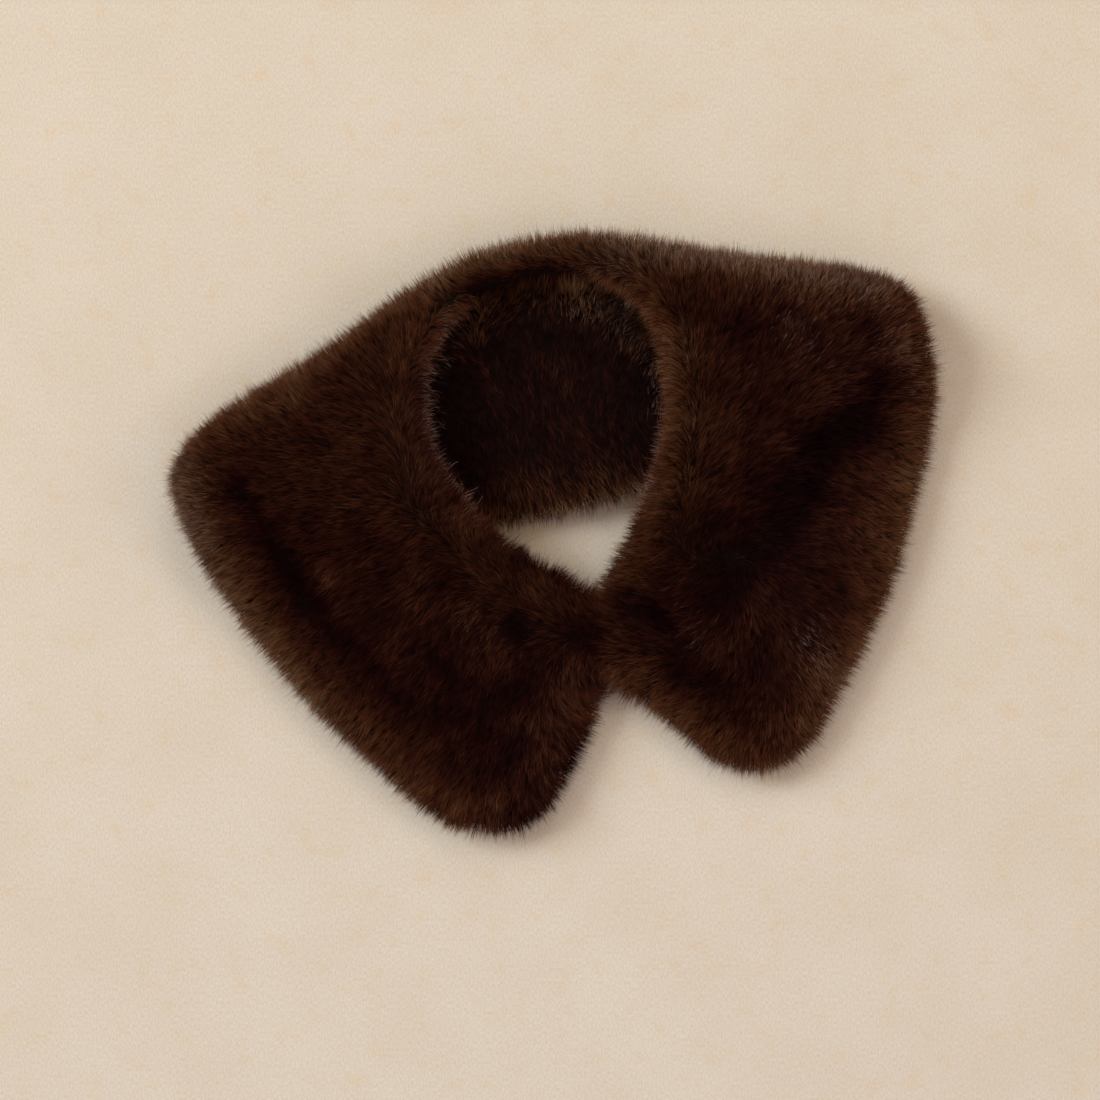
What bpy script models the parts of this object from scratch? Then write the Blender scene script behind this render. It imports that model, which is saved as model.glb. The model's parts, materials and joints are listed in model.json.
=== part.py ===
"""Fur collar wrap: a closed band of long-pile faux fur with pile on both faces, lying on its back.

The back panel lies on the surface z = 0. Both front panels are folded over it at the shoulders and meet
edge to edge below the neck opening. Every panel is two walls of fur, an outer and an inner one, whose
backings meet face to face; a wall is as thick as its pile reaches. Units are metres and +Z is up.

Each panel is a grid over its plan outline. Heights come from the distance to the shoulder fold line (the
half turn), to the back hem (where the fronts come down to the surface) and to the neck edge (which stands
up a little). The walls are the grid's points moved along its normals by the pile's reach.
"""

import bmesh
import bpy
import numpy as np

MM = 0.001
# A place this near to a path counts as on it, and a length is never taken as less than TINY.
ON_PATH = 0.2 * MM
TINY = 1e-12

# Driving dimensions of the fur and its folds.
PILE_REACH = 8.0 * MM
SEAM_GAP = 0.3 * MM
HALF_GAP = SEAM_GAP / 2
FOLD_RADIUS = 9.0 * MM
FOLD_RUN_ON = 30.0 * MM
EDGE_ROUNDING = 13.0 * MM
EDGE_WALL = 0.9 * MM

# How the fronts lie: their step down past the back hem and the neck edge that stands up.
STEP_LENGTH = 46.0 * MM
NECK_LIFT = 12.0 * MM
NECK_LIFT_WIDTH = 27.0 * MM
NECK_LIFT_CLEAR_OF_FOLD = 26.0 * MM
NECK_LIFT_END = 44.0 * MM
SAG_LENGTH = 30.0 * MM

# The inner fur bulges out from under the seam at the back of the neck.
BACK_NECK_BULGE = 9.0 * MM

# Heights of the line between the two furs, worked out from the sizes above.
UNDER_HEIGHT = PILE_REACH + HALF_GAP
FOLD_HEIGHT = UNDER_HEIGHT + FOLD_RADIUS
BACK_TOP = 2 * UNDER_HEIGHT
FRONT_HEIGHT = BACK_TOP + SEAM_GAP + UNDER_HEIGHT
SAG = FOLD_HEIGHT + FOLD_RADIUS - FRONT_HEIGHT

# Plan outlines in millimetres, each row one (x, y) point that a smooth curve passes through.
# Along the shoulder folds and the back of the neck, from the left hem corner to the right one.
FOLD_LINE = (
    (-223, 17),
    (-218, 42),
    (-196, 65),
    (-164, 84),
    (-122, 110),
    (-84, 138),
    (-52, 156),
    (-22, 166),
    (20, 171),
    (66, 165),
    (120, 158),
    (172, 151),
    (202, 142),
    (216, 127),
)
# Where the shoulder lines from the neck meet the fold line.
LEFT_SHOULDER, RIGHT_SHOULDER = (-88, 135), (80, 163)
# The neck edge from the front closure up the left side, round the back and down the right side.
NECK_EDGE = (
    (25, -35),
    (6, -23),
    (-15, -12),
    (-35, 1),
    (-55, 24),
    (-70, 47),
    (-76, 76),
    (-72, 104),
    (-60, 127),
    (-41, 144),
    (-18, 151),
    (3, 155),
    (20, 153),
    (38, 144),
    (53, 129),
    (62, 107),
    (65, 83),
    (65, 60),
    (59, 37),
    (51, 16),
    (42, -4),
    (33, -20),
    (25, -35),
)
# Rows of NECK_EDGE where the shoulder lines reach it.
NECK_LEFT_ROW, NECK_RIGHT_ROW = 8, 14
LEFT_HEM = ((-223, 17), (-217, -3), (-188, -51), (-150, -98), (-106, -139), (-74, -169), (-45, -181))
RIGHT_HEM = ((216, 127), (226, 106), (227, 78), (214, 16), (195, -46), (169, -98), (152, -127), (132, -142))
# The fronts meet edge to edge along the closure and then part.
CLOSURE = ((25, -35), (28, -63), (31, -91))
LEFT_FRONT_EDGE = ((31, -91), (21, -122), (4, -155), (-16, -176), (-45, -181))
RIGHT_FRONT_EDGE = ((31, -91), (57, -104), (80, -125), (103, -140), (132, -142))
BACK_HEM = (
    (-223, 17),
    (-192, 8),
    (-130, 2),
    (-35, 4),
    (8, 10),
    (36, 17),
    (60, 27),
    (120, 52),
    (182, 92),
    (216, 127),
)

# Hollows pressed into the outer fur of the fronts, in millimetres: from, to, half width, depth.
HOLLOWS = (
    ("left hem trough", (-185, 26), (-137, -36), 15, 3.2),
    ("left hem trough, low", (-137, -36), (-88, -95), 15, 3.4),
    ("left middle dent", (-62, -20), (-20, -56), 12, 2.6),
    ("left lower dent", (-20, -56), (14, -92), 11, 2.4),
    ("left neck valley", (-88, 104), (-104, 48), 13, 3.0),
    ("left neck valley, low", (-104, 48), (-80, 16), 13, 2.6),
    ("right hem trough", (185, 90), (165, 56), 14, 2.6),
    ("right hem trough, low", (165, 56), (132, -2), 15, 3.4),
    ("right neck valley", (92, 118), (100, 30), 13, 2.0),
    ("right lower dent", (70, -46), (102, -80), 13, 2.8),
)
PUFF_HEIGHT, PUFF_FROM_EDGE, PUFF_WIDTH = 1.6 * MM, 24.0 * MM, 15.0 * MM

# Points along an outline, along the neck edge and along one stretch of either, and how much finer each curve
# is worked out before its points are spaced evenly.
OUTLINE_POINTS, NECK_POINTS, STRETCH_POINTS, FINER = 160, 260, 120, 12
# Slopes are taken over this distance, and a seam is eased open by at most this share of a grid step.
SLOPE_NUDGE = 0.5 * MM
MOST_OF_STEP = 1 / 3
# Grid steps: along a front, along the back, from the neck to the fold line, and from there to the hem.
FRONT_ALONG, BACK_ALONG = 22, 24
ROLL_STEPS, DOWN_STEPS = 4, 11

FUR_COLOUR, FUR_ROUGHNESS = (0.0185, 0.0075, 0.0045, 1.0), 0.85


def curve_through(points, count=OUTLINE_POINTS):
    """Points at even steps along a smooth curve through the given points."""
    points = np.asarray(points, float)
    steps = np.linalg.norm(np.diff(points, axis=0), axis=1) ** 0.5
    knots = np.concatenate([[0], np.cumsum(steps)])
    slopes = np.gradient(points, knots, axis=0)
    at = np.linspace(0, knots[-1], FINER * count)
    row = np.clip(np.searchsorted(knots, at, side="right") - 1, 0, len(steps) - 1)
    width = steps[row]
    u = ((at - knots[row]) / width)[:, None]
    width = width[:, None]
    fine = (
        (2 * u**3 - 3 * u**2 + 1) * points[row]
        + (u**3 - 2 * u**2 + u) * width * slopes[row]
        + (3 * u**2 - 2 * u**3) * points[row + 1]
        + (u**3 - u**2) * width * slopes[row + 1]
    )
    return resampled(fine, np.linspace(0, 1, count))


def resampled(path, shares):
    """Points of a path at the given shares of its length."""
    lengths = np.concatenate([[0], np.cumsum(np.linalg.norm(np.diff(path, axis=0), axis=1))])
    at = np.asarray(shares) * lengths[-1]
    return np.stack([np.interp(at, lengths, path[:, axis]) for axis in range(path.shape[1])], axis=1)


def path_length(path):
    """Length of a path of points."""
    return np.linalg.norm(np.diff(path, axis=0), axis=1).sum()


def share_at(path, place):
    """Share of an evenly stepped path's length at its point nearest to a place given in millimetres."""
    return np.linalg.norm(path - np.array(place) * MM, axis=1).argmin() / (len(path) - 1)


def part_of(path, start, end, count=STRETCH_POINTS):
    """The stretch of a path between two shares of its length."""
    return resampled(path, np.linspace(start, end, count))


def run_on(path):
    """The point that carries a path straight on past its first point."""
    way = path[0] - path[1]
    return path[0] + way / np.linalg.norm(way) * FOLD_RUN_ON


def nearest_on(path, places):
    """Distance from each place to a path, and the unit vector from the path to the place.

    A place on the path itself takes the direction to the right of the way the path runs.
    """
    flat = places.reshape(-1, 2)
    start, span = path[:-1], np.diff(path, axis=0)
    offset = flat[:, None, :] - start[None]
    share = np.clip((offset * span).sum(-1) / np.maximum((span**2).sum(-1), TINY**2), 0, 1)
    away = offset - share[..., None] * span
    distance = np.linalg.norm(away, axis=-1)
    nearest = distance.argmin(axis=1)
    rows = np.arange(len(flat))
    distance, away = distance[rows, nearest], away[rows, nearest]
    right = np.stack([span[nearest, 1], -span[nearest, 0]], axis=1)
    away = np.where(distance[:, None] < ON_PATH, right, away)
    side = away / np.maximum(np.linalg.norm(away, axis=1), TINY)[:, None]
    return distance.reshape(places.shape[:-1]), side.reshape(places.shape)


def eased(share):
    """A smooth step from 0 to 1."""
    share = np.clip(share, 0, 1)
    return share * share * (3 - 2 * share)


def dense_ends(steps):
    """Shares from 0 to 1 that lie closer together at both ends, where the edges are round."""
    return (1 - np.cos(np.linspace(0, np.pi, steps + 1))) / 2


def dense_finish(steps):
    """Shares from 0 to 1 that lie closer together at the finish."""
    return np.sin(np.linspace(0, np.pi / 2, steps + 1))


def patch(neck, hem, start, end, along, across):
    """Plan grid of a four-sided panel, blended from its four edges (a Coons patch)."""
    neck, hem = resampled(neck, along)[:, None], resampled(hem, along)[:, None]
    start, end = resampled(start, across)[None], resampled(end, across)[None]
    u, v = along[:, None, None], across[None, :, None]
    sides = (1 - v) * neck + v * hem + (1 - u) * start + u * end
    corners = (1 - u) * ((1 - v) * neck[0] + v * hem[0]) + u * ((1 - v) * neck[-1] + v * hem[-1])
    return sides - corners


class Outlines:
    """The collar's plan curves, in metres."""

    def __init__(self):
        self.fold = curve_through(FOLD_LINE) * MM
        self.fold_guide = np.vstack([run_on(self.fold), self.fold, run_on(self.fold[::-1])])
        self.neck = curve_through(NECK_EDGE, NECK_POINTS) * MM
        self.left_hem = curve_through(LEFT_HEM) * MM
        self.right_hem = curve_through(RIGHT_HEM) * MM
        closure = curve_through(CLOSURE)
        self.left_front = np.vstack([closure, curve_through(LEFT_FRONT_EDGE)]) * MM - (HALF_GAP, 0)
        self.right_front = np.vstack([closure, curve_through(RIGHT_FRONT_EDGE)]) * MM + (HALF_GAP, 0)
        self.back_hem = curve_through(BACK_HEM) * MM
        left, right = (share_at(self.neck, NECK_EDGE[row]) for row in (NECK_LEFT_ROW, NECK_RIGHT_ROW))
        self.left_neck = part_of(self.neck, left, 0)
        self.right_neck = part_of(self.neck, right, 1)
        self.back_neck = part_of(self.neck, left, right)
        self.left_neck[-1] = self.left_front[0]
        self.right_neck[-1] = self.right_front[0]
        left, right = (share_at(self.fold, place) for place in (LEFT_SHOULDER, RIGHT_SHOULDER))
        self.left_fold = part_of(self.fold, left, 0)
        self.right_fold = part_of(self.fold, right, 1)
        self.top_fold = part_of(self.fold, left, right)
        self.left_shoulder = np.vstack([self.left_neck[:1], self.left_fold])
        self.right_shoulder = np.vstack([self.right_neck[:1], self.right_fold])

    def past_back_hem(self, places):
        """How far each place lies past the back hem, negative where it lies over the back."""
        distance, side = nearest_on(self.back_hem, places)
        return np.where(side[..., 1] < 0, distance, -distance)


def rounded_reach(from_edge):
    """The pile's reach near a free edge, where it turns round the edge."""
    share = np.clip(from_edge / EDGE_ROUNDING, 0, 1)
    return EDGE_WALL + (PILE_REACH - EDGE_WALL) * np.sqrt(1 - (1 - share) ** 2)


def hollow_depth(places):
    """How deep the hollows of the table press the fur in at each place."""
    depth = np.zeros(places.shape[:-1])
    for _name, start, end, half_width, deepest in HOLLOWS:
        path = np.linspace(start, end, 2) * MM
        distance, _ = nearest_on(path, places)
        depth = np.maximum(depth, deepest * MM * np.exp(-((distance / (half_width * MM)) ** 2)))
    return depth


def settled(places, outlines):
    """What the fronts' height adds to the fold's: the sag, the step past the back and the neck lift."""
    from_fold, _ = nearest_on(outlines.fold_guide, places)
    from_neck, _ = nearest_on(outlines.neck, places)
    past = outlines.past_back_hem(places)
    sag = SAG * eased((from_fold - FOLD_RADIUS) / SAG_LENGTH)
    step = (FRONT_HEIGHT - UNDER_HEIGHT) * eased(past / STEP_LENGTH)
    near_neck = np.exp(-((from_neck / NECK_LIFT_WIDTH) ** 2))
    held = eased(from_fold / NECK_LIFT_CLEAR_OF_FOLD) * (1 - eased(past / NECK_LIFT_END))
    return NECK_LIFT * near_neck * held - sag - step * eased(from_fold / FOLD_RADIUS)


def settled_slope(places, outlines):
    """Slope of the settled height along x and y."""
    slopes = []
    for nudge in np.eye(2) * SLOPE_NUDGE:
        rise = settled(places + nudge, outlines) - settled(places - nudge, outlines)
        slopes.append(rise / (2 * SLOPE_NUDGE))
    return np.dstack(slopes)


class Sheet:
    """A grid of points on the line between the two furs, with outward normals and the pile's reach."""

    def __init__(self, places, on_top, outlines, free_edges):
        self.places = places
        self.on_top = on_top
        from_fold, inward = nearest_on(outlines.fold_guide, places)
        turn = np.clip(1 - from_fold / FOLD_RADIUS, 0, 1)
        rise = np.sqrt(1 - turn**2)
        self.from_edge = np.min([nearest_on(edge, places)[0] for edge in free_edges], axis=0)
        lift = settled(places, outlines) if on_top else np.zeros_like(rise)
        sign = 1 if on_top else -1
        height = FOLD_HEIGHT + sign * FOLD_RADIUS * rise + lift
        self.middle = np.dstack([places, height])
        normal = np.dstack([-inward * turn[..., None], sign * rise])
        slope = settled_slope(places, outlines) if on_top else 0
        normal[..., :2] = normal[..., :2] - slope * rise[..., None]
        self.normal = normal / np.linalg.norm(normal, axis=-1, keepdims=True)

    def outer_reach(self):
        """Reach of the outer fur, puffed along its edges and hollowed where it is pressed in."""
        reach = rounded_reach(self.from_edge)
        puff = PUFF_HEIGHT * np.exp(-(((self.from_edge - PUFF_FROM_EDGE) / PUFF_WIDTH) ** 2))
        covered = eased(self.from_edge / EDGE_ROUNDING)
        return reach + covered * (puff - hollow_depth(self.places)) if self.on_top else reach

    def walls(self):
        """(near, far) point grids of the outer wall, then of the inner wall."""
        normal = self.normal
        outer_reach = self.outer_reach()[..., None]
        inner_reach = rounded_reach(self.from_edge)[..., None]
        outer = (self.middle + normal * HALF_GAP, self.middle + normal * (HALF_GAP + outer_reach))
        inner = (self.middle - normal * HALF_GAP, self.middle - normal * (HALF_GAP + inner_reach))
        return outer, inner


def bulged(walls, share, from_edge):
    """The back-neck walls with the inner pile rolled out past the neck seam, most at the middle."""
    outer, (near, far) = walls
    toward_neck = near[:, :1, :2] - near[:, 1:2, :2]
    toward_neck = toward_neck / np.linalg.norm(toward_neck, axis=-1, keepdims=True)
    turn = np.pi * np.clip(from_edge / EDGE_ROUNDING, 0, 1)
    reach = BACK_NECK_BULGE * np.sqrt(np.sin(np.pi * share))[:, None] * np.sin(turn)
    far = far.copy()
    far[..., :2] += toward_neck * reach[..., None]
    return outer, (near, far)


def joined(first, second):
    """Two sheets' wall grids joined across, the second going on from the first's last column."""
    return [
        tuple(np.concatenate([a, b[:, 1:]], axis=1) for a, b in zip(one, two))
        for one, two in zip(first, second)
    ]


def eased_apart(grid, rows):
    """The grid with its end rows drawn in by half a seam gap, so that neighbours stay clear."""
    grid = grid.copy()
    for row, inner in rows:
        step = grid[inner] - grid[row]
        length = np.maximum(np.linalg.norm(step, axis=-1, keepdims=True), TINY)
        grid[row] += step / length * np.minimum(HALF_GAP, length * MOST_OF_STEP)
    return grid


def plan_centre(grids):
    """Middle of the plan box round all the point grids."""
    places = np.vstack([grid.reshape(-1, 3) for grid in grids])
    low, high = places.min(axis=0), places.max(axis=0)
    return (low + high) / 2 * (1, 1, 0)


def solid_from(name, near, far, collection, material):
    """One closed wall between two point grids of the same size, resting no lower than z = 0.

    Every quad is split along the diagonal from its first corner, so that walls which share a seam
    have the same faces there and keep their gap.
    """
    along, across = near.shape[:2]
    mesh = bmesh.new()
    low, high = (
        [[mesh.verts.new((x, y, max(z, 0))) for x, y, z in row] for row in grid] for grid in (near, far)
    )
    for i in range(along - 1):
        for j in range(across - 1):
            for ring in (low, high):
                a, b, c, d = ring[i][j], ring[i + 1][j], ring[i + 1][j + 1], ring[i][j + 1]
                turned = 1 if ring is high else -1
                mesh.faces.new((a, b, c)[::turned])
                mesh.faces.new((a, c, d)[::turned])
    border = [(i, 0) for i in range(along)]
    border += [(along - 1, j) for j in range(1, across)]
    border += [(i, across - 1) for i in range(along - 2, -1, -1)]
    border += [(0, j) for j in range(across - 2, 0, -1)]
    for start, end in zip(border, border[1:] + border[:1]):
        (i, j), (k, m) = min(start, end), max(start, end)
        turned = 1 if (start, end) == ((i, j), (k, m)) else -1
        mesh.faces.new((low[i][j], low[k][m], high[k][m])[::turned])
        mesh.faces.new((low[i][j], high[k][m], high[i][j])[::turned])
    if mesh.calc_volume(signed=True) < 0:
        bmesh.ops.reverse_faces(mesh, faces=mesh.faces)
    data = bpy.data.meshes.new(name)
    mesh.to_mesh(data)
    mesh.free()
    data.shade_smooth()
    data.materials.append(material)
    collection.objects.link(bpy.data.objects.new(name, data))


def fur_material(name):
    """Plain stand-in for dark brown faux fur."""
    material = bpy.data.materials.new(name)
    material.use_nodes = True
    shader = material.node_tree.nodes["Principled BSDF"]
    shader.inputs["Base Color"].default_value = FUR_COLOUR
    shader.inputs["Roughness"].default_value = FUR_ROUGHNESS
    shader.inputs["Metallic"].default_value = 0.0
    return material


def front_walls(outlines, side):
    """Wall grids of one front panel, from its shoulder fold to its front edge."""
    neck, hem, shoulder, front = (
        getattr(outlines, f"{side}_{part}") for part in ("neck", "hem", "shoulder", "front")
    )
    at_fold = np.linalg.norm(shoulder[1] - shoulder[0]) / path_length(shoulder)
    over_roll = at_fold * dense_finish(ROLL_STEPS)
    along_fold = at_fold + (1 - at_fold) * dense_finish(DOWN_STEPS)
    across = np.concatenate([over_roll, along_fold[1:]])
    places = patch(neck, hem, shoulder, front, dense_ends(FRONT_ALONG), across)
    return Sheet(places, True, outlines, (outlines.neck, hem, front)).walls()


def back_walls(outlines):
    """Wall grids of the back panel, from the neck edge over its roll and down to the hem."""
    along = dense_ends(BACK_ALONG)
    left, right = outlines.left_shoulder[:2], outlines.right_shoulder[:2]
    roll = patch(outlines.back_neck, outlines.top_fold, left, right, along, dense_finish(ROLL_STEPS))
    down = patch(
        outlines.top_fold,
        outlines.back_hem,
        outlines.left_fold,
        outlines.right_fold,
        along,
        dense_ends(DOWN_STEPS),
    )
    on_top = Sheet(roll, True, outlines, (outlines.neck,))
    below = Sheet(down, False, outlines, (outlines.back_hem,))
    return joined(bulged(on_top.walls(), along, on_top.from_edge), below.walls())


def clear_scene():
    """Removes the objects that the scene starts with."""
    for found in list(bpy.data.objects):
        bpy.data.objects.remove(found)


def main():
    """Builds the outer and inner wall of each panel, centred in plan over the origin."""
    clear_scene()
    collection = bpy.data.collections.new("fur_collar_wrap")
    bpy.context.scene.collection.children.link(collection)
    outlines = Outlines()
    panels = {
        "front_left": (front_walls(outlines, "left"), [(0, 1)]),
        "front_right": (front_walls(outlines, "right"), [(0, 1)]),
        "back": (back_walls(outlines), [(0, 1), (-1, -2)]),
    }
    walls = {
        f"{panel}_{face}": [eased_apart(grid, seams) for grid in grids]
        for panel, (faces, seams) in panels.items()
        for face, grids in zip(("outer", "inner"), faces)
    }
    centre = plan_centre([grid for grids in walls.values() for grid in grids])
    for name, (near, far) in walls.items():
        solid_from(name, near - centre, far - centre, collection, fur_material(name))


main()
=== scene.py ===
"""Dresses the fur collar wrap: knitted backings and long faux-fur pile on every wall, lit in a soft studio.

Each wall of the CAD model becomes a backing, drawn in from the reach of the pile, and the pile that grows on
it: long tapered guard hairs over a shorter, finer and denser underfur. The pile is combed by short tables of
places and headings, and it turns outwards over every free edge. Lengths are metres and +Z is up.
"""

import json
import logging
from dataclasses import dataclass, field
from enum import Enum

import bmesh
import bpy
import numpy as np
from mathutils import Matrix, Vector, noise
from mathutils.bvhtree import BVHTree
from mathutils.kdtree import KDTree

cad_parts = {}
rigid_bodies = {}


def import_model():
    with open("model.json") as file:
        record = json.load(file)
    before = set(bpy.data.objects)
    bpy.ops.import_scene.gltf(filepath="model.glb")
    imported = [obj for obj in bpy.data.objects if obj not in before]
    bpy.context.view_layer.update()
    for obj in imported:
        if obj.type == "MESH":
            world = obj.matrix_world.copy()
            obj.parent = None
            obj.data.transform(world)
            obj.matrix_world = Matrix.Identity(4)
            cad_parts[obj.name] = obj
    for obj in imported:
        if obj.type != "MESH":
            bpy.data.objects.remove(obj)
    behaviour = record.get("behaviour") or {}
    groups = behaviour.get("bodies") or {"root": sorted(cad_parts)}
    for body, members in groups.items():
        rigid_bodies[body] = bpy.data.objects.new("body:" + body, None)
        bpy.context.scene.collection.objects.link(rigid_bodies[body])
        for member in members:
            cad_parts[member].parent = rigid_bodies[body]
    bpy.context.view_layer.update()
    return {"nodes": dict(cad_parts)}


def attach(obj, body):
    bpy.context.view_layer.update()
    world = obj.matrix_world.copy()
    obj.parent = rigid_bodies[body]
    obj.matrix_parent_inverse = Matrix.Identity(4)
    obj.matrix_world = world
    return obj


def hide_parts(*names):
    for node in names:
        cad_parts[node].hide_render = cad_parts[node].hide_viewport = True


MM = 0.001
SEED = 20
FIBRE_MAP = "OFBake"
PANELS = ("front_left", "front_right", "back")

log = logging.getLogger("fur_collar")


class Face(Enum):
    """Which face of the wrap a wall of fur is."""

    OUTER = "outer"
    INNER = "inner"


class Hold(Enum):
    """How a panel lies: folded or laid flat."""

    FOLDED = "folded"
    LAID = "laid"


# How the outer fur is combed: (x, y) in millimetres and the heading of the tips in degrees, 0 along +X.
OUTER_COMBING = (
    # left front: hem side and shoulder side
    (-190, 78, 130),
    (-211, 45, 150),
    (-226, 15, 180),
    (-211, -15, 200),
    (-175, -63, 212),
    (-133, -111, 222),
    (-91, -153, 232),
    (-49, -177, 255),
    (-19, -180, 278),
    (4, -153, 305),
    (20, -117, 320),
    (27, -93, 330),
    (-151, 81, 130),
    (-181, 51, 165),
    # left front: middle
    (-163, 21, 180),
    (-127, 57, 175),
    (-127, 9, 183),
    (-103, 39, 178),
    (-151, -15, 195),
    (-133, -21, 212),
    (-97, -27, 200),
    (-91, -51, 225),
    (-67, -39, 238),
    (-127, -75, 218),
    (-103, -99, 230),
    (-43, -51, 262),
    (-61, -87, 235),
    (-49, -129, 235),
    (-19, -99, 245),
    (-25, -147, 255),
    (-1, -129, 288),
    (5, -69, 250),
    (10, -93, 300),
    (5, -45, 85),
    (-19, -33, 80),
    # left front: neck side
    (-43, -15, 70),
    (-61, 9, 55),
    (-76, 39, 50),
    (-82, 69, 52),
    (-85, 93, 60),
    (-91, 111, 100),
    (-67, 123, 30),
    (-103, 123, 130),
    (-109, 81, 165),
    (-103, -3, 185),
    (-79, -15, 215),
    (-31, -69, 250),
    # left front: where the neck side turns into the middle
    (-50, -24, 152),
    (-28, -39, 158),
    (-5, -54, 168),
    # back of the neck and the shoulders
    (-79, 141, 128),
    (-55, 159, 126),
    (-25, 172, 112),
    (5, 178, 98),
    (41, 177, 86),
    (89, 168, 78),
    (137, 162, 72),
    (179, 150, 58),
    # back of the neck: along the crease
    (-66, 134, 172),
    (-42, 147, 178),
    (-16, 156, 182),
    (12, 158, 186),
    (36, 152, 170),
    # right front: corner and hem side
    (215, 138, 42),
    (230, 111, 15),
    (230, 81, 4),
    (224, 45, -12),
    (212, -3, -22),
    (197, -51, -30),
    (176, -99, -42),
    (155, -132, -62),
    (125, -144, -95),
    (95, -129, -128),
    (71, -108, -142),
    (53, -96, -158),
    # right front: neck side
    (83, 141, 82),
    (65, 138, 150),
    (65, 117, 182),
    (68, 81, 182),
    (68, 51, 188),
    (62, 21, 188),
    (50, -9, 178),
    (38, -27, 165),
    # right front: middle
    (97, 105, 55),
    (97, 57, 48),
    (92, 9, 62),
    (119, 123, 62),
    (125, 81, 50),
    (143, 117, 55),
    (149, 69, 42),
    (185, 117, 38),
    (203, 81, 12),
    (179, 81, 22),
    (173, 39, -20),
    (191, 21, -32),
    (137, 21, 25),
    (107, 33, 52),
    (93, -39, 215),
    (143, -21, -10),
    (173, -21, -35),
    (110, -63, 250),
    (59, -51, 140),
    (41, -63, 170),
    (59, -87, 195),
    (89, -93, 208),
    (125, -99, -105),
    (143, -69, -58),
    (161, -75, -50),
    (131, -39, -50),
)

# How the inner fur that shows in the neck opening is combed.
INNER_COMBING = (
    (-60, 127, 340),
    (-43, 138, 215),
    (-20, 138, 235),
    (5, 134, 275),
    (30, 128, 262),
    (48, 118, 232),
    (-60, 90, 330),
    (-30, 100, 290),
    (0, 95, 275),
    (30, 95, 250),
    (-50, 50, 300),
    (-20, 60, 285),
    (10, 60, 300),
    (40, 60, 295),
    (-35, 15, 275),
    (0, 22, 300),
    (30, 28, 305),
    (60, 40, 300),
)
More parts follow.
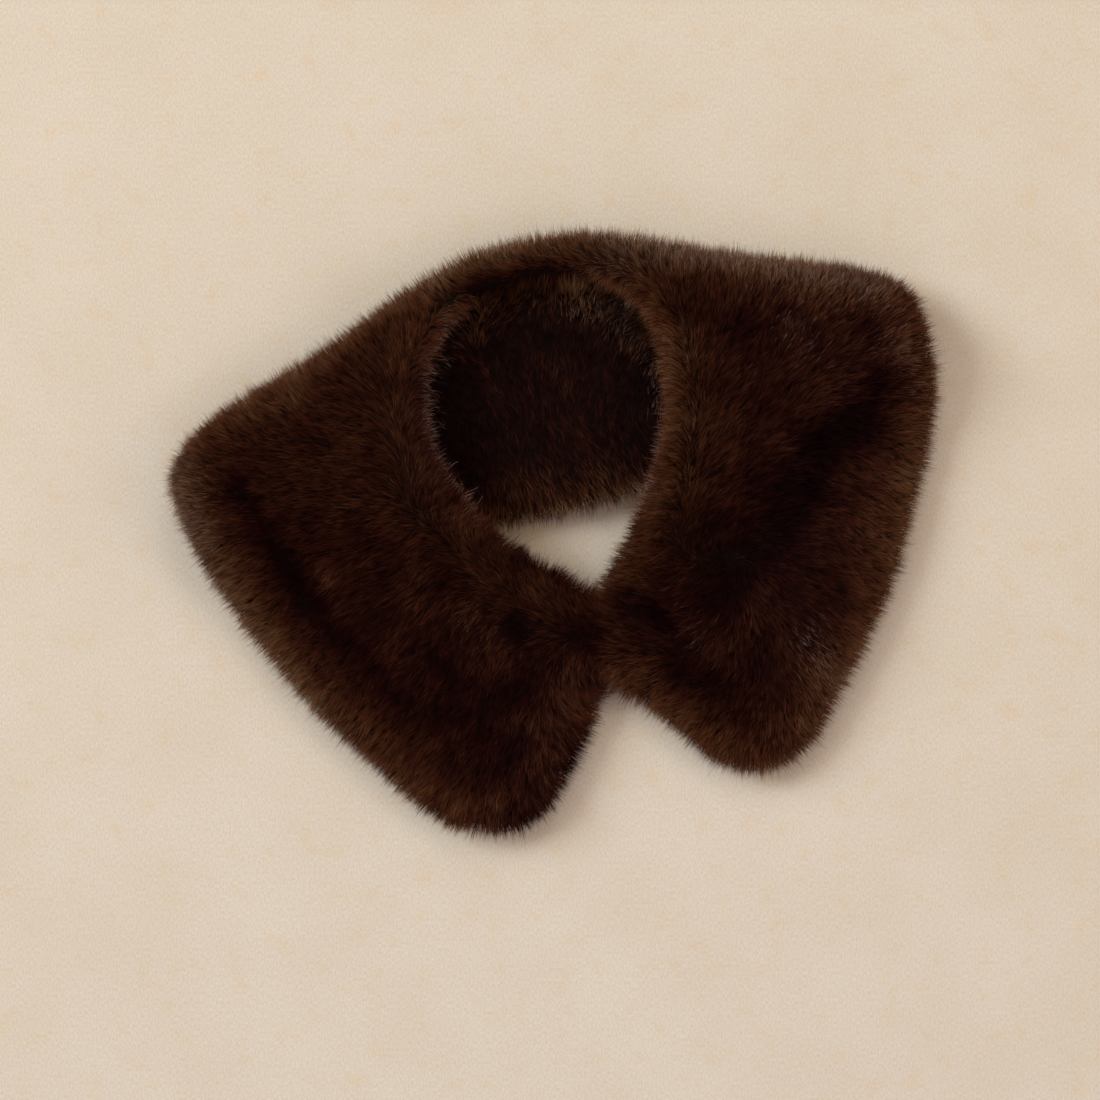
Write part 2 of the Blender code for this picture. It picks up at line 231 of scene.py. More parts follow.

# Where the outer pile is painted lighter or darker than the rest: painted shade in its hollows, dents and
# crease and along the neck edge and the closure, painted light on its lobes and ridges. Each row is a stroke:
# its two ends and its half width in millimetres, the change of tone, and how far the pile stands up there,
# from 0 to 1.
OUTER_STROKES = (
    # left front: painted shade in the hollow inside the hem and in the dents, painted light on the lobes
    (-182, 24, -158, -9, 7, -0.22, 0.2),
    (-158, -9, -140, -39, 8, -0.32, 0.3),
    (-140, -39, -114, -69, 8, -0.23, 0.3),
    (-114, -69, -84, -99, 9, -0.18, 0.2),
    (-84, -99, -50, -106, 12, -0.16, 0.1),
    (-116, 2, -92, -10, 12, -0.08, 0.1),
    (-62, -27, -60, -24, 7, -0.26, 0.3),
    (-18, -56, -16, -58, 8, -0.28, 0.3),
    (-74, -69, -50, -87, 13, -0.18, 0.1),
    (-8, -75, -31, -99, 13, -0.20, 0.1),
    (-60, -95, -30, -125, 26, -0.14, 0.0),
    (-98, -45, -58, -70, 22, -0.09, 0.0),
    (-87, 105, -100, 81, 3, -0.10, 0.2),
    (-100, 81, -103, 48, 3, -0.10, 0.2),
    (-131, -24, -128, -22, 7, 0.14, 0.0),
    (-80, -36, -78, -40, 8, 0.14, 0.0),
    (-43, -46, -36, -62, 6, 0.12, 0.0),
    (-91, -63, -93, -65, 6, 0.12, 0.0),
    (-150, 75, -110, 60, 22, 0.08, 0.0),
    (-155, 45, -125, 30, 18, 0.05, 0.0),
    (-112, 20, -72, -24, 12, 0.08, 0.0),
    (-215, 28, -205, 0, 14, 0.19, 0.0),
    (-195, -22, -140, -95, 9, 0.18, 0.0),
    (3, -130, -2, -142, 7, 0.10, 0.0),
    # left front: painted shade along the neck edge, the closure and the front edge
    (-44, 146, -60, 126, 9, -0.26, 0.0),
    (-62, 122, -76, 92, 12, -0.24, 0.0),
    (-76, 92, -76, 60, 14, -0.34, 0.0),
    (-76, 60, -55, 20, 14, -0.38, 0.0),
    (-55, 20, -14, -14, 12, -0.34, 0.0),
    (-14, -14, 20, -38, 10, -0.26, 0.0),
    (26, -60, 24, -96, 12, -0.24, 0.0),
    (18, -98, 4, -124, 12, -0.20, 0.0),
    (20, -120, -24, -174, 14, -0.36, 0.0),
    (-24, -170, -60, -160, 12, -0.08, 0.0),
    # back of the neck: painted shade in the crease at the seam, painted light on the ridge above it
    (-45, 143, -14, 153, 8, -0.16, 0.3),
    (-14, 153, 14, 155, 8, -0.18, 0.3),
    (14, 155, 28, 150, 8, -0.12, 0.3),
    (-70, 148, -20, 168, 9, 0.16, 0.0),
    (-20, 168, 28, 170, 9, 0.12, 0.0),
    # right front: painted shade in the hollow inside the hem and in the dents, painted light on the lobes and
    # the top edge
    (192, 90, 176, 66, 11, -0.24, 0.2),
    (176, 66, 156, 51, 12, -0.32, 0.3),
    (156, 51, 142, 27, 14, -0.34, 0.3),
    (142, 27, 127, 0, 16, -0.29, 0.2),
    (127, 0, 100, -30, 16, -0.26, 0.1),
    (100, -15, 156, -30, 22, -0.13, 0.0),
    (112, 111, 114, 108, 14, -0.16, 0.0),
    (184, 116, 184, 100, 7, -0.14, 0.0),
    (48, -40, 68, -52, 9, -0.30, 0.3),
    (82, -74, 104, -88, 11, -0.24, 0.3),
    (124, -63, 116, -99, 16, -0.12, 0.0),
    (120, 78, 140, 52, 16, -0.06, 0.0),
    (148, -8, 144, -50, 20, -0.11, 0.0),
    (206, 136, 216, 112, 12, -0.12, 0.0),
    (108, -130, 142, -128, 12, -0.05, 0.0),
    (74, 111, 78, 21, 12, 0.07, 0.0),
    (199, 114, 202, 110, 9, 0.12, 0.0),
    (212, 63, 206, 20, 9, 0.06, 0.0),
    (40, 171, 149, 156, 10, 0.18, 0.0),
    (157, -72, 165, -82, 7, 0.12, 0.0),
    # right front: painted shade along the neck edge and the closure
    (30, 160, 50, 138, 8, -0.12, 0.0),
    (61, 104, 63, 40, 7, -0.10, 0.0),
    (58, 36, 34, -22, 7, -0.14, 0.0),
    (36, -40, 36, -80, 10, -0.02, 0.0),
)

# The same for the inner pile that shows in the neck opening: painted light on the band below the seam and low
# in the opening, painted shade under the band and along the opening's sides.
INNER_STROKES = (
    (-52, 130, -14, 144, 13, 0.28, 0.5),
    (-14, 144, 17, 145, 13, 0.30, 0.5),
    (17, 145, 46, 132, 12, 0.20, 0.5),
    (-46, 112, -14, 123, 8, -0.16, 0.0),
    (-14, 123, 23, 122, 8, -0.16, 0.0),
    (23, 122, 50, 100, 8, -0.14, 0.0),
    (-58, 100, -58, 40, 14, -0.10, 0.0),
    (56, 100, 52, 50, 9, -0.10, 0.0),
    (2, 106, 10, 94, 12, 0.06, 0.0),
    (5, 60, 25, 44, 14, 0.08, 0.0),
    (-32, 6, 5, 14, 8, 0.28, 0.0),
    (-20, 34, 40, 46, 14, 0.10, 0.0),
    (5, 14, 29, 20, 9, 0.42, 0.0),
    (29, 20, 58, 30, 9, 0.42, 0.0),
)

# Where strands with grey tips of painted sheen grow among the others, in the same form: two ends, half width,
# share.
SHEEN_TIP_STROKES = (
    (40, 169, 100, 162, 11, 0.50),
    (100, 162, 190, 144, 11, 0.42),
    (-218, 34, -206, -2, 13, 0.40),
    (-60, 124, -75, 96, 4, 0.30),
    (-75, 96, -76, 60, 4, 0.36),
    (-76, 60, -50, 14, 4, 0.24),
    (44, 138, 62, 104, 4, 0.40),
    (62, 104, 64, 44, 4, 0.36),
    (12, 138, 46, 124, 6, 0.24),
    (-25, 8, 20, 14, 7, 0.42),
    (20, 14, 58, 28, 8, 0.50),
    (140, 118, 146, 112, 11, 0.10),
    (200, 112, 210, 92, 9, 0.14),
    (150, -60, 165, -84, 9, 0.16),
    (-50, -46, -36, -56, 9, 0.03),
    (80, -48, 92, -62, 8, 0.05),
)

# Columns of a stroke: its change of tone or share of strands with painted sheen tips, and how far it stands
# the pile up.
AMOUNT, UPRIGHT = 5, 6

# Tone of the pile away from the edges; the inner fur is darker, painted shade for the neck opening where it
# shows.
BASE_TONES = {Face.OUTER: 0.26, Face.INNER: 0.12}


def linear(code: str) -> tuple[float, float, float, float]:
    """Turns an sRGB hex colour into Blender's linear one.

    Args:
        code: Six hex digits, such as "3B2417".

    Returns:
        Red, green, blue and an alpha of 1.
    """
    shares = [int(code[at : at + 2], 16) / 255 for at in (0, 2, 4)]
    red, green, blue = (s / 12.92 if s <= 0.04045 else ((s + 0.055) / 1.055) ** 2.4 for s in shares)
    return red, green, blue, 1.0


def eased(share: np.ndarray) -> np.ndarray:
    """Smooth step from 0 to 1 of an array of shares."""
    share = np.clip(share, 0, 1)
    return share * share * (3 - 2 * share)


def unit(rows: np.ndarray) -> np.ndarray:
    """Rows of an array made one long."""
    return rows / np.maximum(np.linalg.norm(rows, axis=-1, keepdims=True), 1e-12)


def drift(places: np.ndarray, size: float, offset: float = 0.0) -> np.ndarray:
    """Smooth uneven noise from about -1 to 1.

    Args:
        places: Points, one row each.
        size: Size of the patches in metres.
        offset: Moves to another part of the noise, so that two uses differ.

    Returns:
        One value for each point.
    """
    scaled = places / size + offset
    return np.array([noise.noise(row) for row in scaled.tolist()])


def brushed(places: np.ndarray, strokes: tuple, column: int = AMOUNT) -> np.ndarray:
    """What a table of strokes gives at each place: its strongest lighter stroke plus its strongest darker.

    Args:
        places: Points, one row each.
        strokes: Rows of two ends and a half width in millimetres, then amounts.
        column: Which amount of the rows to give.

    Returns:
        One value for each place.
    """
    more, less = np.zeros(len(places)), np.zeros(len(places))
    for stroke in strokes:
        start, end = np.array(stroke[:2]) * MM, np.array(stroke[2:4]) * MM
        offset, span = places[:, :2] - start, end - start
        share = np.clip(offset @ span / (span @ span), 0, 1)[:, None]
        away = ((offset - share * span) ** 2).sum(axis=1)
        amount = stroke[column] * np.exp(-away / (stroke[4] * MM) ** 2)
        more, less = np.maximum(more, amount), np.minimum(less, amount)
    return more + less


def add_node(
    tree: bpy.types.NodeTree, kind: str, links: dict | None = None, stops: tuple = (), **settings
) -> bpy.types.Node:
    """Adds one shader node with its settings and links.

    Args:
        tree: The node tree that it goes in.
        kind: The node's type name without the ShaderNode prefix.
        links: Input name or number to an output socket, or to the value that the input keeps.
        stops: Pairs of a position and an sRGB hex colour, for a node with a colour ramp.
        **settings: Properties of the node itself.

    Returns:
        The new node.
    """
    node = tree.nodes.new("ShaderNode" + kind)
    for name, value in settings.items():
        setattr(node, name, value)
    for name, value in (links or {}).items():
        if isinstance(value, bpy.types.NodeSocket):
            tree.links.new(value, node.inputs[name])
        else:
            node.inputs[name].default_value = value
    for at, (position, code) in enumerate(stops):
        marks = node.color_ramp.elements
        mark = marks[at] if at < len(marks) else marks.new(position)
        mark.position, mark.color = position, linear(code)
    return node


def new_material(name: str) -> tuple[bpy.types.Material, bpy.types.NodeTree, bpy.types.Node]:
    """Makes an empty node material.

    Args:
        name: The material's name.

    Returns:
        The material, its node tree and its Principled shader.
    """
    material = bpy.data.materials.new(name)
    material.use_nodes = True
    tree = material.node_tree
    return material, tree, tree.nodes["Principled BSDF"]


@dataclass(frozen=True)
class PileFinish:
    """Modacrylic faux-fur fibre, dyed dark brown and tip-dyed lighter.

    The fibre is slick, so a strand has a soft sheen along it. Its root is nearly black, and its tip is
    redder and lighter. The strand's own map says where a point is: U is its tone and V runs root to tip.
    """

    name: str
    # Tip colours from the darkest strand to the lightest, then the brown below the grey tip of painted sheen.
    tips: tuple = (
        (0.0, "190508"),
        (0.2, "371310"),
        (0.45, "5F3420"),
        (0.65, "7C5234"),
        (0.82, "947152"),
        (0.86, "6C4935"),
    )
    roots: tuple = ((0.0, "080201"), (1.0, "22100A"))
    # Grey of the painted sheen on the tips of a few strands.
    sheen_grey: str = "9E8C88"
    # Where along the strand the root's colour turns into the tip's, and where a tip turns to the grey of
    # painted sheen.
    body_span: tuple = (0.15, 0.95)
    tip_span: tuple = (0.60, 0.92)
    # Tones that stand for a strand with a painted sheen tip lie past these.
    sheen_tip_span: tuple = (0.86, 0.90)
    roughness: float = 0.5
    specular: float = 0.02

    def build(self) -> bpy.types.Material:
        """Makes the fibre material."""
        material, tree, shader = new_material(self.name)
        place = add_node(tree, "UVMap", uv_map=FIBRE_MAP)
        split = add_node(tree, "SeparateXYZ", {0: place.outputs["UV"]})
        tone, along = split.outputs["X"], split.outputs["Y"]
        spans = {}
        for part, source, span in (
            ("body", along, self.body_span),
            ("tip", along, self.tip_span),
            ("sheen_tips", tone, self.sheen_tip_span),
        ):
            links = {"Value": source, "From Min": span[0], "From Max": span[1]}
            spans[part] = add_node(tree, "MapRange", links, interpolation_type="SMOOTHSTEP").outputs[0]
        roots = add_node(tree, "ValToRGB", {0: tone}, stops=self.roots).outputs["Color"]
        tips = add_node(tree, "ValToRGB", {0: tone}, stops=self.tips).outputs["Color"]
        body = add_node(tree, "Mix", {0: spans["body"], 6: roots, 7: tips}, data_type="RGBA")
        # A strand with a sheen tone turns grey towards its tip: painted sheen.
        grey = add_node(tree, "Math", {0: spans["tip"], 1: spans["sheen_tips"]}, operation="MULTIPLY")
        links = {0: grey.outputs[0], 6: body.outputs[2], 7: linear(self.sheen_grey)}
        colour = add_node(tree, "Mix", links, data_type="RGBA")
        tree.links.new(colour.outputs[2], shader.inputs["Base Color"])
        shader.inputs["Roughness"].default_value = self.roughness
        shader.inputs["Specular IOR Level"].default_value = self.specular
        return material


@dataclass(frozen=True)
class BackingFinish:
    """Knitted polyester backing under a felt of pile roots: matt, nearly black and slightly mottled."""

    name: str
    dark: str = "0B0403"
    light: str = "1C0C07"
    # A stitch of the knit is 1.2 mm across and 0.4 mm deep, and a mottled patch of root felt about 6 mm.
    stitch: float = 1.2 * MM
    stitch_depth: float = 0.4 * MM
    patch: float = 6.0 * MM

    def build(self) -> bpy.types.Material:
        """Makes the backing material."""
        material, tree, shader = new_material(self.name)
        place = add_node(tree, "TexCoord").outputs["Object"]
        mottle = add_node(tree, "TexNoise", {"Vector": place, "Scale": 1 / self.patch, "Detail": 4.0})
        knit = add_node(tree, "TexVoronoi", {"Vector": place, "Scale": 1 / self.stitch})
        stops = ((0.3, self.dark), (0.7, self.light))
        colour = add_node(tree, "ValToRGB", {0: mottle.outputs[0]}, stops=stops)
        tree.links.new(colour.outputs[0], shader.inputs["Base Color"])
        links = {"Height": knit.outputs["Distance"], "Strength": 0.5, "Distance": self.stitch_depth}
        bump = add_node(tree, "Bump", links)
        tree.links.new(bump.outputs[0], shader.inputs["Normal"])
        shader.inputs["Roughness"].default_value = 0.9
        shader.inputs["Specular IOR Level"].default_value = 0.1
        return material


@dataclass(frozen=True)
class PaperFinish:
    """Cream drawing paper: matt, with a fine upright grain, faint warm stains and a soft unevenness."""

    name: str
    cloud: tuple = ((0.35, "DACFBE"), (0.65, "DDD3C4"))
    stain: str = "DEC39C"
    # A grain is about 1 mm across and twice as tall, a stain 14 mm and a cloud 70 mm. A real paper's grain is
    # finer, and this one is as coarse as it needs to show.
    grain_size: float = 1.0 * MM
    stain_size: float = 14.0 * MM
    cloud_size: float = 70.0 * MM
    # Levels of the noise over which a stain and a grain come up, and how strong each of them gets.
    stain_span: tuple = (0.55, 0.85)
    stain_most: float = 0.5
    grain_span: tuple = (0.3, 0.7)
    grain_range: tuple = (0.90, 1.08)

    def build(self) -> bpy.types.Material:
        """Makes the paper material."""
        material, tree, shader = new_material(self.name)
        place = add_node(tree, "TexCoord").outputs["Object"]
        stretched = add_node(tree, "Mapping", {"Vector": place, "Scale": (1.0, 0.5, 1.0)}).outputs[0]
        noises = {}
        for part, source, size in (
            ("cloud", place, self.cloud_size),
            ("stain", place, self.stain_size),
            ("grain", stretched, self.grain_size),
        ):
            links = {"Vector": source, "Scale": 1 / size, "Detail": 3.0}
            noises[part] = add_node(tree, "TexNoise", links).outputs[0]
        cloud = add_node(tree, "ValToRGB", {0: noises["cloud"]}, stops=self.cloud).outputs[0]
        low, high = self.stain_span
        links = {"Value": noises["stain"], "From Min": low, "From Max": high, "To Max": self.stain_most}
        links = {0: add_node(tree, "MapRange", links).outputs[0], 6: cloud, 7: linear(self.stain)}
        paper = add_node(tree, "Mix", links, data_type="RGBA").outputs[2]
        low, high = self.grain_span
        links = {"Value": noises["grain"], "From Min": low, "From Max": high}
        links |= {"To Min": self.grain_range[0], "To Max": self.grain_range[1]}
        links = {0: 1.0, 6: paper, 7: add_node(tree, "MapRange", links).outputs[0]}
        colour = add_node(tree, "Mix", links, data_type="RGBA", blend_type="MULTIPLY").outputs[2]
        tree.links.new(colour, shader.inputs["Base Color"])
        shader.inputs["Roughness"].default_value = 0.85
        shader.inputs["Specular IOR Level"].default_value = 0.15
        return material


class Wall:
    """A CAD wall of fur as arrays: welded points, triangles, smooth normals, and which triangles show."""

    # Points nearer than this are welded, and a look along a normal starts this far behind its triangle.
    weld: float = 0.02 * MM
    step_back: float = 0.1 * MM
    # A hidden triangle's say in the normals, against one that shows.
    hidden_say: float = 1e-6

    def __init__(self, name: str, node: bpy.types.Object) -> None:
        """Reads a CAD node without changing it.

        Args:
            name: The node's name.
            node: Its object.
        """
        self.name = name
        self.mesh = bmesh.new()
        self.mesh.from_mesh(node.data)
        bmesh.ops.remove_doubles(self.mesh, verts=self.mesh.verts, dist=self.weld)
        bmesh.ops.triangulate(self.mesh, faces=self.mesh.faces)
        self.mesh.verts.index_update()
        self.points = np.array([v.co for v in self.mesh.verts])
        self.faces = np.array([[v.index for v in f.verts] for f in self.mesh.faces])
        corners = self.points[self.faces]
        cross = np.cross(corners[:, 1] - corners[:, 0], corners[:, 2] - corners[:, 0])
        self.area = np.linalg.norm(cross, axis=1) / 2
        self.face_normals = unit(cross)
        self.centres = corners.mean(axis=1)
        self.tree = BVHTree.FromPolygons(self.points.tolist(), self.faces.tolist())
        self.shows = np.ones(len(self.faces), bool)
        self.normals = self.face_normals
        self.drawn_in = self.points

    def find_showing(self, others: list["Wall"], within: float) -> None:
        """Marks the triangles that no other wall lies against, and works out normals from those alone.

        Args:
            others: The other walls of the wrap.
            within: How close another wall's face has to be to hide a triangle.
        """
        for row, (centre, normal) in enumerate(zip(self.centres.tolist(), self.face_normals.tolist())):
            start = Vector(centre) - Vector(normal) * self.step_back
            self.shows[row] = all(wall.tree.ray_cast(start, normal, within)[0] is None for wall in others)
        sums = np.zeros_like(self.points)
        for corner in range(3):
            weight = np.where(self.shows, self.area, self.hidden_say * self.area)[:, None]
            np.add.at(sums, self.faces[:, corner], weight * self.face_normals)
        self.normals = unit(sums)

    def sampled(self, count: int, rng: np.random.Generator, weights: np.ndarray) -> tuple:
        """Random places on the wall.

        Args:
            count: How many places.
            rng: The seeded random numbers.
            weights: How likely each triangle is.

        Returns:
            The triangle of each place and its three corner shares.
        """
        rows = rng.choice(len(self.faces), count, p=weights / weights.sum())
        first, second = np.sqrt(rng.random(count)), rng.random(count)
        shares = np.stack([1 - first, first * (1 - second), first * second], axis=1)
        return rows, shares

    def blended(self, values: np.ndarray, rows: np.ndarray, shares: np.ndarray) -> np.ndarray:
        """Values of the wall's points, blended at sampled places."""
        return (values[self.faces[rows]] * shares[..., None]).sum(axis=1)


class Rim:
    """The line where a panel's fur turns over its edges and its fold, seen from above."""

    # Keeps the nearest edge point from outweighing the others that a heading is blended from.
    soften: float = 3 * MM

    def __init__(self, wall: Wall, upright: float = 0.4) -> None:
        """Keeps the middles of the faces that stand steeply.

        Args:
            wall: The panel's outer wall.
            upright: Most that the vertical part of a face's normal may be for the face to count.
        """
        steep = wall.shows & (np.abs(wall.face_normals[:, 2]) < upright)
        self.places, self.headings = wall.centres[steep][:, :2], unit(wall.face_normals[steep][:, :2])
        self.index()

    def index(self) -> None:
        """Sorts the edge points for look-ups."""
        self.tree = KDTree(len(self.places))
        for row, (x, y) in enumerate(self.places.tolist()):
            self.tree.insert((x, y, 0), row)
        self.tree.balance()

    def part_from(self, others: np.ndarray, within: float) -> None:
        """Drops the edge points near another panel's, where the two are closed edge to edge.

        Args:
            others: The other panel's edge points.
            within: How near two edges have to be to count as closed.
        """
        gaps = np.linalg.norm(self.places[:, None] - others[None], axis=2).min(axis=1)
        free = gaps > within
        self.places, self.headings = self.places[free], self.headings[free]
        self.index()

    def nearest(self, places: np.ndarray, count: int = 8) -> tuple[np.ndarray, np.ndarray]:
        """Distance and outward heading of the nearest edge, seen from above.

        Args:
            places: Points, one row each.
            count: How many edge points to blend.

        Returns:
            The distances, and unit headings in the plane.
        """
        distance, heading = np.empty(len(places)), np.empty((len(places), 2))
        for row, (x, y) in enumerate(places[:, :2].tolist()):
            found = self.tree.find_n((x, y, 0), count)
            distance[row] = found[0][2]
            weight = 1 / (np.array([away for _, _, away in found]) + self.soften) ** 2
            heading[row] = weight @ self.headings[[index for _, index, _ in found]]
        return distance, unit(heading)


@dataclass
class Form:
    """The whole CAD form: every wall, the cloth under the pile's reach, and the outline of the fur."""

    nodes: dict
    # How near another wall has to be to hide a face, and how far the draw-in looks around each point.
    touching: float = 0.9 * MM
    look_round: float = 20.0 * MM
    # Spacing of the samples that stand for the fur.
    spacing: float = 5.0 * MM
    # The fronts are closed where their edges are nearer than this.
    closed: float = 8.0 * MM
    walls: dict = field(init=False)
    rims: dict = field(init=False)

    def __post_init__(self) -> None:
        """Reads the walls, then draws their points in from the reach of the pile."""
        self.walls = {name: Wall(name, node) for name, node in sorted(self.nodes.items())}
        rng = np.random.default_rng(SEED)
        samples = []
        for name, wall in self.walls.items():
            wall.find_showing([w for n, w in self.walls.items() if n != name], self.touching)
            count = int(wall.area.sum() / self.spacing**2)
            rows, shares = wall.sampled(count, rng, wall.area)
            samples.append(wall.blended(wall.points, rows, shares))
        cloud = np.concatenate(samples)
        for wall in self.walls.values():
            wall.drawn_in = wall.points + self.pull(wall.points, cloud)
        self.rims = {panel: Rim(self.walls[f"{panel}_{Face.OUTER.value}"]) for panel in PANELS}
        left, right = self.rims["front_left"], self.rims["front_right"]
        left_places = left.places
        left.part_from(right.places, self.closed)
        right.part_from(left_places, self.closed)

    def pull(self, points: np.ndarray, cloud: np.ndarray) -> np.ndarray:
        """The way from each point to the middle of the fur around it.

        Args:
            points: The points to draw in.
            cloud: Even samples of every wall.

        Returns:
            One offset for each point, long at the edges and short in the middle of a panel.
        """
        offsets = np.zeros_like(points)
        for row, point in enumerate(points):
            away = cloud - point
            weight = np.clip(1 - (away**2).sum(axis=1) / self.look_round**2, 0, None)
            offsets[row] = (away * weight[:, None]).sum(axis=0) / weight.sum()
        return offsets


@dataclass
class Combing:
    """Which way the pile lies, from a table of headings and the edges of the panel."""

    table: tuple
    # Strokes of painted light and shade, with how far the pile stands up under each.
    strokes: tuple
    # Strokes where strands get grey tips of painted sheen.
    sheen_tips: tuple
    # How far a row of the table is felt, and how much of it is still felt everywhere.
    reach: float = 14.0 * MM
    afar: float = 1e-4
    # The pile turns outwards between these distances from an edge.
    turned: float = 3.0 * MM
    straight: float = 15.0 * MM
    # How unevenly it lies: radians, size of the patches and their place in the noise, then strand by strand.
    unevenness: tuple = ((0.34, 15.0 * MM, 3.1), (0.26, 5.0 * MM, 7.7))
    scatter: float = 0.12

    def headings(self, places: np.ndarray, rim: Rim, rng: np.random.Generator) -> tuple:
        """The lie of the pile at each place.

        Args:
            places: Points, one row each.
            rim: The panel's edges.
            rng: The seeded random numbers.

        Returns:
            Unit headings in the plane as 3-D rows, the distance from the nearest edge, and how far the
            combing around each place agrees, from 0 to 1.
        """
        rows = np.array(self.table, float)
        angle = np.radians(rows[:, 2])
        arrows = np.stack([np.cos(angle), np.sin(angle)], axis=1)
        away = ((places[:, None, :2] - rows[None, :, :2] * MM) ** 2).sum(axis=2)
        weight = np.exp(-away / (2 * self.reach**2)) + self.afar / (1 + away / self.reach**2)
        combed = weight @ arrows / weight.sum(axis=1, keepdims=True)
        distance, outward = rim.nearest(places)
        share = eased((self.straight - distance) / (self.straight - self.turned))[:, None]
        heading = combed * (1 - share) + outward * share
        agreed = np.linalg.norm(heading, axis=1)
        heading = unit(heading)
        swing = sum(turn * drift(places, size, offset) for turn, size, offset in self.unevenness)
        swing = swing + rng.normal(0, self.scatter, len(places))
        turn_x = heading[:, 0] * np.cos(swing) - heading[:, 1] * np.sin(swing)
        turn_y = heading[:, 0] * np.sin(swing) + heading[:, 1] * np.cos(swing)
        return np.stack([turn_x, turn_y, np.zeros(len(places))], axis=1), distance, agreed


@dataclass(frozen=True)
class Fibre:
    """Sizes of one kind of pile fibre and how it stands."""

    kind: str
    length: float
    width: float
    # Width left at the start of each segment, as a share; the last segment ends in a point.
    taper: tuple
    # Lean from the surface's normal at the root and at the tip, in degrees, over the fur and at its edges.
    lean: tuple
    edge_lean: tuple
    # Share of the way that a tip is drawn to its tuft, and how many strands make a tuft.
    tuft: float
    tuft_size: int
    # How much each tuft's heading differs from its neighbours', in radians.
    tuft_swing: float
    # How far a strand waves to its sides, as a share of its run.
    curl: float
    # How much lighter or darker it is than the rest of the pile.
    tone: float


GUARD_HAIR = Fibre(
    kind="guard_hair",
    length=12.5 * MM,
    width=0.22 * MM,
    taper=(1.0, 0.9, 0.6),
    lean=(38, 74),
    edge_lean=(50, 84),
    tuft=0.22,
    tuft_size=7,
    tuft_swing=0.14,
    curl=0.12,
    tone=0.04,
)
UNDERFUR = Fibre(
    kind="underfur",
    length=9.5 * MM,
    width=0.28 * MM,
    taper=(1.0, 0.7),
    lean=(32, 62),
    edge_lean=(42, 70),
    tuft=0.12,
    tuft_size=7,
    tuft_swing=0.20,
    curl=0.20,
    tone=-0.06,
)


